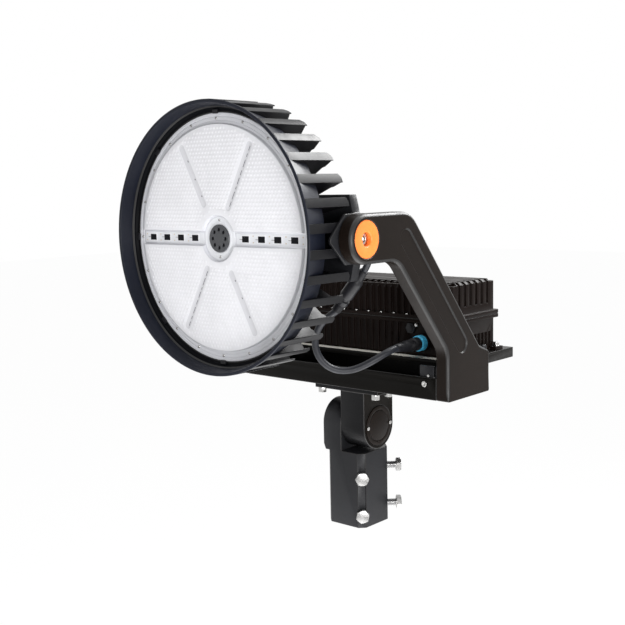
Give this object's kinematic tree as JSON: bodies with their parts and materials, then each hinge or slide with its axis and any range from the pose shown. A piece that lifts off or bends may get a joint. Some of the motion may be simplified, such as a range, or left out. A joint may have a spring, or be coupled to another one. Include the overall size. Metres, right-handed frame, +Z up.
{
  "type": "led flood light",
  "caption": "Round outdoor LED flood light with radial heat-sink fins, tilting in a yoke bracket with a driver box, on a knuckle slip fitter for a pole tenon.",
  "frame": {"origin": "centre of the slip fitter's mouth, on the tenon's axis", "axes": "+Z up along the tenon's axis, -Y the way the light is thrown, +X along the head's tilt axis"},
  "size_m": [0.456, 0.522, 0.7081],
  "materials": {
    "black_paint": "satin black powder coat",
    "clear_optic": "clear, with moulded lenslets and a grey border",
    "seal_rubber": "matte",
    "dark_plastic": "fine matte",
    "white_plastic": "matte",
    "board_white": "white solder mask",
    "led_phosphor": "matte",
    "bare_aluminium": "machined",
    "zinc_steel": "zinc plated",
    "cable_rubber": "matte",
    "bush_bronze": "satin",
    "disc_orange": "satin",
    "ring_blue": "satin",
    "board_green": "satin",
    "coil_copper": "enamelled",
    "capacitor_sleeve": "satin"
  },
  "bodies": {
    "base": {"slip_fitter": "black_paint", "knuckle_bolt": "zinc_steel", "clamp_bolts": "zinc_steel"},
    "bracket": {"arm_right": "black_paint", "arm_left": "black_paint", "pivot_bushes": "bush_bronze", "pivot_discs": "disc_orange", "crossbeam": "black_paint", "end_brackets": "black_paint", "beam_screws": "zinc_steel", "arm_bolts": "zinc_steel", "driver_tray": "black_paint", "tray_screws": "zinc_steel", "driver_case": "black_paint", "driver_cover": "black_paint", "driver_gasket": "seal_rubber", "cover_screws": "zinc_steel", "driver_board": "board_green", "driver_coils": "coil_copper", "driver_capacitors": "capacitor_sleeve", "driver_heatsinks": "bare_aluminium", "foot_bolts": "zinc_steel", "ground_post": "dark_plastic", "panel_connector": "dark_plastic", "panel_screw": "zinc_steel", "supply_gland": "dark_plastic", "coupling_ring": "ring_blue", "plug": "dark_plastic", "power_cable": "cable_rubber", "knuckle": "black_paint", "flange_bolts": "zinc_steel", "knuckle_cover": "black_paint", "knuckle_cover_screws": "zinc_steel"},
    "head": {"shroud": "black_paint", "lens_plate": "clear_optic", "lens_clips": "dark_plastic", "lens_screws": "zinc_steel", "lens_gasket": "seal_rubber", "vent_cap": "dark_plastic", "vent_membrane": "white_plastic", "led_boards": "board_white", "led_chips": "led_phosphor", "heat_base": "bare_aluminium", "base_screws": "zinc_steel", "fins": "black_paint", "rear_bar": "black_paint", "bar_bolts": "zinc_steel", "ear_plates": "black_paint", "ear_screws": "zinc_steel", "pivot_bolts": "zinc_steel", "head_gland": "dark_plastic", "head_cable": "cable_rubber", "inline_connector": "dark_plastic"}
  },
  "joints": [
    {"name": "knuckle_tilt", "type": "hinge", "parent": "base", "child": "bracket", "pos_m": [0, 0, 0.174], "axis": [1, 0, 0], "range_deg": [-90, 90]},
    {"name": "head_tilt", "type": "hinge", "parent": "bracket", "child": "head", "pos_m": [0, -0.254, 0.508], "axis": [1, 0, 0], "range_deg": [-45, 60], "deforming": ["power_cable"]}
  ]
}
